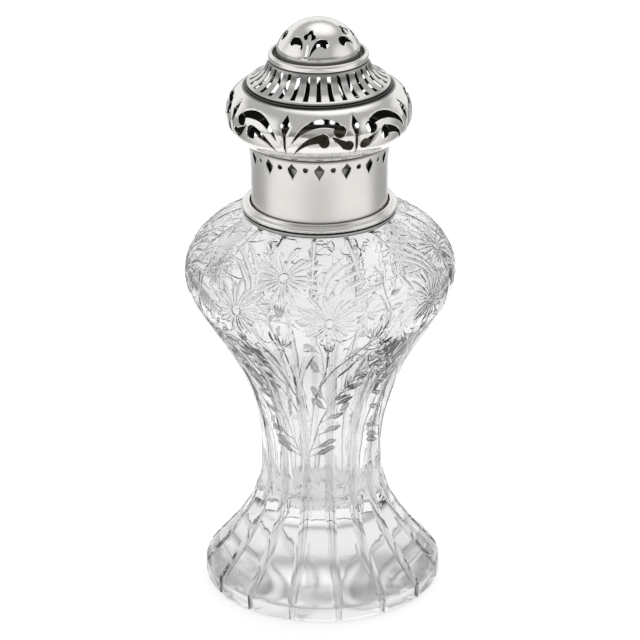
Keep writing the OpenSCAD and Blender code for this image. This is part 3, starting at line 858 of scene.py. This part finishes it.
TENDRILS = [
    [(20.8, 117), (20.9, 116.2), (23, 115.6), (24.9, 116.2), (24.3, 117)],
    [(-19, 109.7), (-22.1, 108.2), (-27.6, 108.2), (-33.3, 108.6)],
    [(33, 117), (35, 115.6), (38, 116.2), (42, 115), (45, 116.4)],
    [(-44, 110), (-45.5, 106), (-44, 101), (-45.5, 96)],
    [(36, 76), (39, 84), (43, 88)],
]


def cut_swirls(skin, count, low, high, deep):
    """Cuts fine curling lines, spread evenly over a band of the glass."""
    turned = skin.turned
    top = turned.at_height(LEDGE_Z - FLUTE_GAP)
    share = np.linspace(0, 1, 9)
    swell = np.sin(math.pi * np.clip(share, 0.03, 0.97)) ** 0.6
    for i in range(count):
        degrees = 90 * ((0.618 * i + 0.13) % 1) - 45
        height = low + (high - low) * ((0.382 * i * i + 0.27 * i) % 1)
        middle = on_spray(turned, degrees, height)
        heading = 2.4 * math.sin(1.9 * i) + (1.6 + math.sin(0.7 * i)) * (-1) ** i * share**1.5 * 1.6
        stride = (5.0 + 2.0 * math.cos(2.3 * i)) / 8
        across, up = np.cumsum(stride * np.sin(heading)), np.cumsum(stride * np.cos(heading))
        up = np.minimum(up, top - middle[1])
        skin.cut(beside(turned, middle, across, up), 0.3 * swell, deep * swell)


def cut_spray(skin, sizes):
    """Engraves one spray: two leafy stems, flower stems, blades, tendrils, buds and three flowers."""
    turned = skin.turned
    cut_leafy_stem(skin, 1, LEAFY_RIGHT)
    cut_leafy_stem(skin, -1, LEAFY_LEFT)
    for places in STEMS:
        skin.cut(through(turned, places, 3), 0.24, 0.22, 0.3)
    for places in BLADES:
        cut_blade(skin, places)
    for places in TENDRILS:
        skin.cut(through(turned, places, 4), 0.26, 0.2)
    cut_swirls(skin, 64, 107.5, 117, 0.16)
    cut_swirls(skin, 52, 86, 107.5, 0.13)
    cut_bud(skin, -1.5, 89.5, 104.5)
    cut_bud(skin, 39.5, 92, 105.5)
    cut_flower(skin, sizes, 19.6, 98.7, 0.1, 0.05)
    cut_flower(skin, sizes, -21.3, 99.6, 0.0, 0.05)
    cut_flower(skin, sizes, -1.3, 110.1, 0.05, 0.38)


def cut_flutes(skin, sizes):
    """Cuts the flutes from the foot up the stem, and the short ones under the collar."""
    turned = skin.turned
    half, depth = sizes.flute_w / MM / 2, sizes.flute_depth / MM
    foot = float(turned.along[turned.rise][0])
    for k in range(FLUTES // SPRAYS):
        angle = FLUTE_PHASE + k * 2 * math.pi / FLUTES
        heights = np.array([0.6, 4.4, 6, 10, 16, 24, 34, 44, 54, *np.linspace(*FLUTE_FADE, 4)])
        fade = np.clip((FLUTE_FADE[1] - heights) / (FLUTE_FADE[1] - FLUTE_FADE[0]), LEAST_FADE, 1)
        width = np.interp(heights, FLUTE_HEIGHTS, FLUTE_WIDTHS) * fade**0.5
        sink = np.interp(heights, FLUTE_HEIGHTS, FLUTE_DEPTHS) * fade
        along = np.concatenate([[foot], turned.at_height(heights)])
        width, sink = (np.concatenate([values[:1], values]) for values in (width, sink))
        path = np.column_stack([np.full_like(along, angle), along])
        skin.cut(path, half * width, depth * sink, 0.3, hollow=True)
        angle += math.pi / FLUTES
        heights = np.linspace(105 if k in (0, 3) else 112, LEDGE_Z - FLUTE_GAP, SHORT_FLUTE_STEPS)
        fade = np.linspace(LEAST_FADE, 1, SHORT_FLUTE_STEPS) ** 0.6
        path = np.column_stack([np.full_like(heights, angle), turned.at_height(heights)])
        skin.cut(path, half * 0.6 * fade, depth * 0.5 * fade, hollow=True)


class CASTER_OT_glass(Operator):
    """Make the cut and engraved glass body."""

    bl_idname = "caster.glass"
    bl_label = "Glass body"

    def execute(self, context):
        sizes = context.scene.caster_glass
        skin = Skin(Turned(glass_profile(sizes)), SPRAYS, SPRAY_MIDDLE - math.pi / SPRAYS)
        cut_flutes(skin, sizes)
        cut_spray(skin, sizes)
        skin.rule(pitch=1.5, room=0.3)
        bm = skin.fill()
        for face in bm.faces:
            middle = face.calc_center_median() / MM
            if middle.z > LEDGE_Z + 0.05 and math.hypot(middle.x, middle.y) > MOUTH_R + 0.2:
                face.material_index = 1
        finishes = [cut_glass(), set_plaster()]
        piece("cut_glass_bottle", bm, "bottle", "glass_body", "cut_glass", finishes, crease=18)
        return {"FINISHED"}


# The collar


class CASTER_OT_collar(Operator):
    """Make the collar band and its moulding, and finish the plaster behind them."""

    bl_idname = "caster.collar"
    bl_label = "Collar"

    def execute(self, context):
        inside = COLLAR_R - 0.7
        band = eased_loop(
            [(inside, LEDGE_Z), (COLLAR_R, LEDGE_Z), (COLLAR_R, COLLAR_TOP), (inside, COLLAR_TOP)], 0.25)
        # painted shade: the collar tube is darkened to about a third, for the shade of the gap behind the
        # sleeve
        dull = polished_silver("shaded_collar_silver", 0.3, 0.35)
        piece("collar_tube", turn_ring(band), "bottle", "collar_band", "silver", [dull])
        bead, flange = 0.9, MOULDING_R - 0.3
        centre = (MOULDING_R - bead, LEDGE_Z + 1.3 + bead)
        fillet, seat_r = MOULDING_R - 1.6, MOULDING_R - 2.4
        outline = np.concatenate([
            eased([(COLLAR_R, LEDGE_Z + 1), (COLLAR_R, LEDGE_Z), (flange, LEDGE_Z), (flange, LEDGE_Z + 1.1),
                   (flange - 0.6, LEDGE_Z + 1.25)], 0.35),
            arc(centre, bead, -70, 90, 14),
            eased([(centre[0] - 0.1, centre[1] + bead), (fillet + 0.15, centre[1] + bead - 0.25),
                   (fillet, MOULDING_TOP), (seat_r, MOULDING_TOP), (seat_r, SEAT_Z),
                   (COLLAR_R, SEAT_Z)], 0.25),
        ])
        bright = polished_silver()
        piece("stepped_moulding", turn_ring(outline), "bottle", "collar_moulding", "silver", [bright])
        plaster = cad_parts["plaster_bedding"]
        plaster.data.materials.clear()
        plaster.data.materials.append(set_plaster())
        return {"FINISHED"}


# The pierced cover

LOZENGES, LOZENGE_W, LOZENGE_H, LOZENGE_DROP = 16, 2.9, 4.8, 4.2
DOT_R, DOT_DROP = 0.75, 3.5
SCROLLS, SCROLL_PHASE = 8, math.radians(1)
BULB_Z = BULB_FOOT + 7.6
BIG_OUTER, BIG_INNER, BIG_BALL = (0.8, -3.3, 9.3), (0.9, -6.9, 10.9), (5.45, 2.75, 1.75)
SMALL_OUTER, SMALL_INNER, SMALL_BALL = (2, -7.7, 10.1), (-0.2, -8.9, 8.5), (0.95, -0.2, 1.6)
SMALL_TURN, STROKE_BALL, STROKE_TIP = (0.9, 0.9, 1.4), (7.8, -1.6, 1.5), (3.1, 1.5)
SPEAR_TIP, SPEAR_SHOULDER, SPEAR_NECK, SPEAR_POINT, SPEAR_NECK_W = 6.6, 4, 1.4, -5.3, 0.9
BROAD_SPEAR, SLIM_SPEAR = 3.0, 2.4
SLOTS, SLOT_FOOT_W, SLOT_TOP_W = 32, 1.35, 0.95
FLOWERS, FLOWER_PHASE, FLOWER_LIFT = 4, math.radians(-17.5), math.radians(42)
PETAL_EDGE = [
    (0.5, 4.1), (0.8, 3.2), (1.75, 2.6), (1.85, 1.8), (1.3, 1.25), (0.6, 1), (0.55, 2.1), (0.3, 2.8)]
STEM_SLIT = [(-0.1, -0.7), (0.2, -0.7), (0.15, -3.1), (-0.15, -4.5), (-0.5, -4.5), (-0.15, -2.8)]
LONG_CURL_FOOT, SHORT_CURL_FOOT, CURL_CREST, CURL_HOOK = (
    (0.85, -4.2), (1.7, -2.2), (4.1, 2.0), (4.9, -0.75))


def upright(turned, angle, height):
    """Lays flat outlines on a skin, at an angle and a height, as a level cut from outside would."""

    def place(outline):
        along = turned.at_height(height + outline[:, 1])
        return np.column_stack([angle + np.arcsin(outline[:, 0] / turned.radius(along)), along])

    return place


def sheet(turned, repeats, start):
    """A skin of silver sheet, to be pierced."""
    return Skin(turned, repeats, start, bpy.context.scene.caster_silver.edge / MM)


def pierced_piece(name, node, skin, silver, pitch=0.9, room=0.2, dark_walls=False):
    """Makes a piece of the cover from a pierced skin, darkened inside with tarnish and painted shade."""
    skin.rule(pitch, room)
    bm = skin.fill()
    thicken(bm, bpy.context.scene.caster_silver.wall, dark_walls)
    piece(name, bm, "cover", node, "silver", [silver, tarnished_and_shaded_silver()])


def scroll_outlines():
    """Outlines of one scroll unit of the bulb."""
    x, y, r = STROKE_BALL
    return [
        crescent(BIG_OUTER, BIG_INNER, BIG_INNER[1], BIG_BALL[0]), disc(BIG_BALL),
        crescent(SMALL_OUTER, SMALL_INNER, SMALL_OUTER[1], SMALL_BALL[0]), disc(SMALL_BALL),
        disc(SMALL_TURN), np.array([STROKE_TIP, (x - r, y - r / 1.5), (x, y - r), (x - r / 2, y + r)]),
        disc(STROKE_BALL),
    ]


def spear_outline(head):
    """Outline of a spear between two scrolls."""
    right = [
        (head / 2, SPEAR_SHOULDER), (SPEAR_NECK_W / 2, SPEAR_NECK), (SPEAR_NECK_W / 3, SPEAR_POINT / 2)]
    left = [(-x, y) for x, y in right[::-1]]
    return np.array([(0, SPEAR_TIP), *right, (0, SPEAR_POINT), *left])


class CASTER_OT_sleeve(Operator):
    """Make the cover's sleeve, pierced with lozenges and dots."""

    bl_idname = "caster.sleeve"
    bl_label = "Sleeve"

    def execute(self, context):
        wall = context.scene.caster_silver.wall / MM
        straight, sleeve_r = SLEEVE_TOP - 11, SLEEVE_TOP_R - 1.1
        profile = np.concatenate([
            eased([(sleeve_r - wall / 2, SEAT_Z), (sleeve_r, SEAT_Z), (sleeve_r, SEAT_Z + 0.7)], 0.2),
            np.linspace((sleeve_r, SEAT_Z + 1.4), (sleeve_r, straight), 9),
            curve((sleeve_r, straight), (sleeve_r, straight + 5.5), (sleeve_r + 0.55, SLEEVE_TOP - 2.7),
                  (SLEEVE_TOP_R, SLEEVE_TOP), 16)])
        turned = Turned(profile)
        pitch = 2 * math.pi / LOZENGES
        skin = sheet(turned, LOZENGES, -pitch / 2)
        top, side, low = (0, LOZENGE_H / 2), (LOZENGE_W / 2, LOZENGE_H / 8), (0, -LOZENGE_H / 2)
        right = np.concatenate([
            curve(top, (0.4, 1.6), (side[0] - 0.25, 1.1), side, 5),
            curve(side, (side[0] - 0.1, -0.3), (0.4, -1.4), low, 6)])
        lozenge = np.concatenate([right, (right * (-1, 1))[-2::-1], [top]])
        skin.pierce(lozenge, upright(turned, 0, SLEEVE_TOP - LOZENGE_DROP))
        skin.pierce(disc((0, 0, DOT_R), 16), upright(turned, pitch / 2, SLEEVE_TOP - DOT_DROP))
        pierced_piece("pierced_sleeve", "cap_sleeve", skin, polished_silver("satin_silver", 0.24))
        return {"FINISHED"}


class CASTER_OT_bulb(Operator):
    """Make the cover's bulb, pierced with scrolls and spears, and the wire above it."""

    bl_idname = "caster.bulb"
    bl_label = "Bulb and wire"

    def execute(self, context):
        low_run, high_run = 5.2, 5.6
        foot_r, crown_r = BULB_R - low_run, BULB_R - high_run
        low, high = BULB_Z - BULB_FOOT, CROWN_Z - BULB_Z
        low_r, high_r = ((run**2 + rise**2) / (2 * run) for run, rise in ((low_run, low), (high_run, high)))
        low_end = math.degrees(math.asin((low - 0.25) / low_r))
        high_end = math.degrees(math.asin((high - 0.2) / high_r))
        lower = arc((BULB_R - low_r, BULB_Z), low_r, -low_end, 0, 24)
        upper = arc((BULB_R - high_r, BULB_Z), high_r, 0, high_end, 24)
        foot = [(foot_r - 1.2, BULB_FOOT + 0.02), (foot_r - 0.15, BULB_FOOT + 0.02), *lower[:2]]
        crown = [upper[-1], (crown_r - 0.25, CROWN_Z), (crown_r - 2.5, CROWN_Z)]
        profile = np.concatenate([eased(foot, 0.15), lower[2:], upper[1:-1], eased(crown, 0.3)])
        turned = Turned(profile)
        pitch = 2 * math.pi / SCROLLS
        skin = sheet(turned, SCROLLS // 2, SCROLL_PHASE - pitch / 2)
        for k, (flip, head) in enumerate(((1, BROAD_SPEAR), (-1, SLIM_SPEAR))):
            angle = SCROLL_PHASE + k * pitch
            for outline in scroll_outlines():
                skin.pierce(outline * (flip, 1), upright(turned, angle, BULB_Z))
            skin.pierce(spear_outline(head), upright(turned, angle - pitch / 2, BULB_Z))
        pierced_piece("scrolled_bulb", "cap_bulb", skin, polished_silver())
        half, inside = (WIRE_TOP - WIRE_FOOT) / 2, crown_r - 2.4
        wire = np.concatenate([
            [(inside, WIRE_TOP), (inside, WIRE_FOOT)],
            arc((WIRE_R - half, WIRE_FOOT + half), half, -90, 90, 10)])
        piece("thin_wire", turn_ring(wire), "cover", "shoulder_wire", "silver", [polished_silver()])
        return {"FINISHED"}


class CASTER_OT_flare(Operator):
    """Make the cover's hollow flare, pierced with upright slots."""

    bl_idname = "caster.flare"
    bl_label = "Flare"

    def execute(self, context):
        foot, top = Vector((LIP_R, LIP_Z + 0.7)), Vector((RIM_R - 0.1, DOME_SEAT))
        chord, sag = top - foot, 1.3
        out = Vector((chord.y, -chord.x)).normalized()
        bend = (foot + top) / 2 - out * 2 * sag
        t = np.linspace(0, 1, 21)[:, None]
        hollow = (1 - t) ** 2 * np.array(foot) + 2 * (1 - t) * t * np.array(bend) + t**2 * np.array(top)
        lip = eased([(LIP_R - 1.8, LIP_Z), (LIP_R, LIP_Z), tuple(foot), tuple(hollow[1])], 0.28)
        turned = Turned(np.concatenate([lip, hollow[2:], [(RIM_R - 1.6, DOME_SEAT)]]))
        pitch = 2 * math.pi / SLOTS
        skin = sheet(turned, SLOTS, -pitch / 2)
        margin = 0.9
        low, high = turned.at_height(foot.y) + margin, turned.at_height(top.y) - margin
        slot = np.array([
            (-SLOT_FOOT_W / 2, low), (SLOT_FOOT_W / 2, low), (SLOT_TOP_W / 2, high), (-SLOT_TOP_W / 2, high)])
        slot = np.concatenate([np.linspace(a, b, 7)[:-1] for a, b in zip(slot, np.roll(slot, -1, 0))])

        def place(outline):
            across, along = outline.T
            return np.column_stack([across / turned.radius(along), along])

        skin.pierce(slot, place)
        shaded = polished_silver("shaded_silver", shade=0.8)
        # painted shade: the slot walls take the dark inside colour too
        pierced_piece("slotted_flare", "cap_flare", skin, shaded, 0.5, 0.15, dark_walls=True)
        return {"FINISHED"}


def curl_outline(foot):
    """Outline of a scroll beside the flower's stem: up from its foot, round its hook and back."""
    return np.concatenate([
        curve(foot, (1.1, -1.2), (2, 1.95), CURL_CREST, 8),
        curve(CURL_CREST, (5.9, 2.1), (6.1, -0.6), CURL_HOOK, 8),
        curve(CURL_HOOK, (3.2, 0.6), (1.9, -1.6), foot, 8),
    ])


def flower_outlines():
    """Outlines of one flower of the dome, with its two scrolls and the slit beside its stem."""
    left_edge = [(-x, y) for x, y in PETAL_EDGE[::-1]]
    flower = eased_loop([(0, 5.3), *PETAL_EDGE, (0, 3), *left_edge], 0.22, 2)
    long_curl, short_curl = curl_outline(LONG_CURL_FOOT), curl_outline(SHORT_CURL_FOOT) * (-1, 1)
    return [flower, np.array(STEM_SLIT), long_curl, short_curl]


class CASTER_OT_dome(Operator):
    """Make the cover's dome, pierced with flowers, and the rim round its foot."""

    bl_idname = "caster.dome"
    bl_label = "Dome and rim"

    def execute(self, context):
        tall = DOME_TOP - DOME_SEAT
        sphere_r = (DOME_R**2 + tall**2) / (2 * tall)
        centre_z = DOME_TOP - sphere_r
        wall_r = DOME_R - 0.95
        start = math.degrees(math.acos(wall_r / sphere_r))
        foot = eased([(DOME_R, DOME_SEAT), (DOME_R, DOME_SEAT + 0.5), (wall_r, DOME_SEAT + 0.6),
                      (wall_r, DOME_SEAT + 2)], 0.2)
        turned = Turned(np.concatenate([foot, arc((0, centre_z), sphere_r, start, 90, 32)]))

        def place(outline):
            x, y = outline.T
            deep = np.sqrt(sphere_r**2 - x**2 - y**2)
            out = deep * math.cos(FLOWER_LIFT) - y * math.sin(FLOWER_LIFT)
            up = deep * math.sin(FLOWER_LIFT) + y * math.cos(FLOWER_LIFT)
            return np.column_stack([FLOWER_PHASE + np.arctan2(x, out), turned.at_height(centre_z + up)])

        skin = sheet(turned, FLOWERS, FLOWER_PHASE - math.pi / FLOWERS)
        for outline in flower_outlines():
            skin.pierce(outline, place)
        pierced_piece("flowered_dome", "cap_dome", skin, polished_silver(), 0.7, 0.15)
        inside, round_r = RIM_R - RIM_W, RIM_W / 2
        rim = np.concatenate([
            eased([(inside, RIM_TOP - round_r), (inside, DOME_SEAT), (RIM_R - 0.15, DOME_SEAT),
                   (RIM_R, DOME_SEAT + 0.35)], 0.15),
            arc((inside + round_r, RIM_TOP - round_r), round_r, 0, 170, 14)])
        piece("round_rim", turn_ring(rim), "cover", "dome_rim", "silver", [polished_silver()])
        return {"FINISHED"}


# The stage

FLOOR_HALF, FLOOR_GAP = 3.0, 0.0002
SENSOR_W = 36.0
# Where the tent's dark front and its backdrop end, as parts of a direction, and how they glow
FRONT_Y, FRONT_Z, BACKDROP_Y, BACKDROP_Z = (-0.7, -0.3), (0.14, 0.34), (0.1, 0.6), (0.4, 0.75)
TENT_GLOW, FRONT_DIM, BACKDROP_GLOW = 0.5, 0.24, 0.95
# Direction, soft and bright ends, and power of the lights in the tent
TENT_LIGHTS = [
    ((0.10, 0.40, 0.91), (0.86, 0.99), 0.7), ((-0.95, -0.16, 0.26), (0.75, 0.98), 0.5),
    ((0.91, -0.29, 0.28), (0.80, 0.98), 0.4)]


class CASTER_OT_stage(Operator):
    """Make the floor, the light and the camera."""

    bl_idname = "caster.stage"
    bl_label = "Stage"

    def execute(self, context):
        scene, sizes = context.scene, context.scene.caster_stage
        bm = bmesh.new()
        bmesh.ops.create_grid(bm, x_segments=1, y_segments=1, size=FLOOR_HALF)
        bmesh.ops.translate(bm, verts=bm.verts[:], vec=(0, 0, -FLOOR_GAP))
        mesh = bpy.data.meshes.new("floor")
        bm.to_mesh(mesh)
        bm.free()
        mesh.materials.append(studio_floor())
        floor = bpy.data.objects.new("floor", mesh)
        scene.collection.objects.link(floor)
        world = bpy.data.worlds.new("studio")
        world.use_nodes = True
        world.node_tree.nodes.clear()
        paint = Paint(world.node_tree)
        way = paint.add("ShaderNodeTexCoord", output=0)
        _, y, z = paint.axes(output=0)
        front = paint.step(y, FRONT_Y) * paint.step(z, FRONT_Z)
        backdrop = paint.step(y, BACKDROP_Y, 0.0, BACKDROP_GLOW) * paint.step(z, BACKDROP_Z)
        tent = paint.math("MAXIMUM", TENT_GLOW - FRONT_DIM * front, backdrop)
        for aim, ends, power in TENT_LIGHTS:
            toward = paint.add("ShaderNodeVectorMath", {0: way, 1: aim}, output=1, operation="DOT_PRODUCT")
            tent = tent + paint.step(toward, ends, 0.0, power)
        light = paint.add("ShaderNodeBackground", {"Color": (1, 1, 1, 1), "Strength": tent})
        paint.add("ShaderNodeOutputWorld", {"Surface": light})
        scene.world = world
        lens = bpy.data.cameras.new("camera")
        lens.sensor_width, lens.lens = SENSOR_W, sizes.lens
        camera = bpy.data.objects.new("camera", lens)
        aim = Vector((sizes.aim_x, 0, sizes.aim_z))
        back = Vector((0, -math.cos(sizes.elevation), math.sin(sizes.elevation)))
        camera.location = aim + back * sizes.distance
        turn = (-back).to_track_quat("-Z", "Y").to_matrix() @ Matrix.Rotation(-sizes.lean, 3, "Z")
        camera.rotation_euler = turn.to_euler()
        scene.collection.objects.link(camera)
        scene.camera = camera
        scene.view_settings.view_transform = "Standard"
        return {"FINISHED"}


class CASTER_PT_panel(Panel):
    """Lists the sizes and the makers."""

    bl_label = "Sugar caster"
    bl_idname = "CASTER_PT_panel"
    bl_space_type = "VIEW_3D"
    bl_region_type = "UI"
    bl_category = "Caster"

    def draw(self, context):
        for name in SETTINGS:
            group = getattr(context.scene, name)
            box = self.layout.box()
            for key in group.__annotations__:
                box.prop(group, key)
        for maker in MAKERS:
            self.layout.operator(maker.bl_idname)


SETTINGS = {"caster_glass": GlassSizes, "caster_silver": SilverSizes, "caster_stage": StageSizes}
MAKERS = (
    CASTER_OT_glass, CASTER_OT_collar, CASTER_OT_sleeve, CASTER_OT_bulb, CASTER_OT_flare, CASTER_OT_dome,
    CASTER_OT_stage)


def register():
    """Adds the classes and the scene's settings."""
    for kind in (*SETTINGS.values(), *MAKERS, CASTER_PT_panel):
        bpy.utils.register_class(kind)
    for name, group in SETTINGS.items():
        setattr(bpy.types.Scene, name, PointerProperty(type=group))


def unregister():
    """Removes the classes and the scene's settings."""
    for name in SETTINGS:
        delattr(bpy.types.Scene, name)
    for kind in (CASTER_PT_panel, *MAKERS[::-1], *SETTINGS.values()):
        bpy.utils.unregister_class(kind)


def main():
    """Makes everything in order."""
    register()
    bpy.ops.caster.stage()
    bpy.ops.caster.glass()
    bpy.ops.caster.collar()
    bpy.ops.caster.sleeve()
    bpy.ops.caster.bulb()
    bpy.ops.caster.flare()
    bpy.ops.caster.dome()


if __name__ == "__main__":
    main()
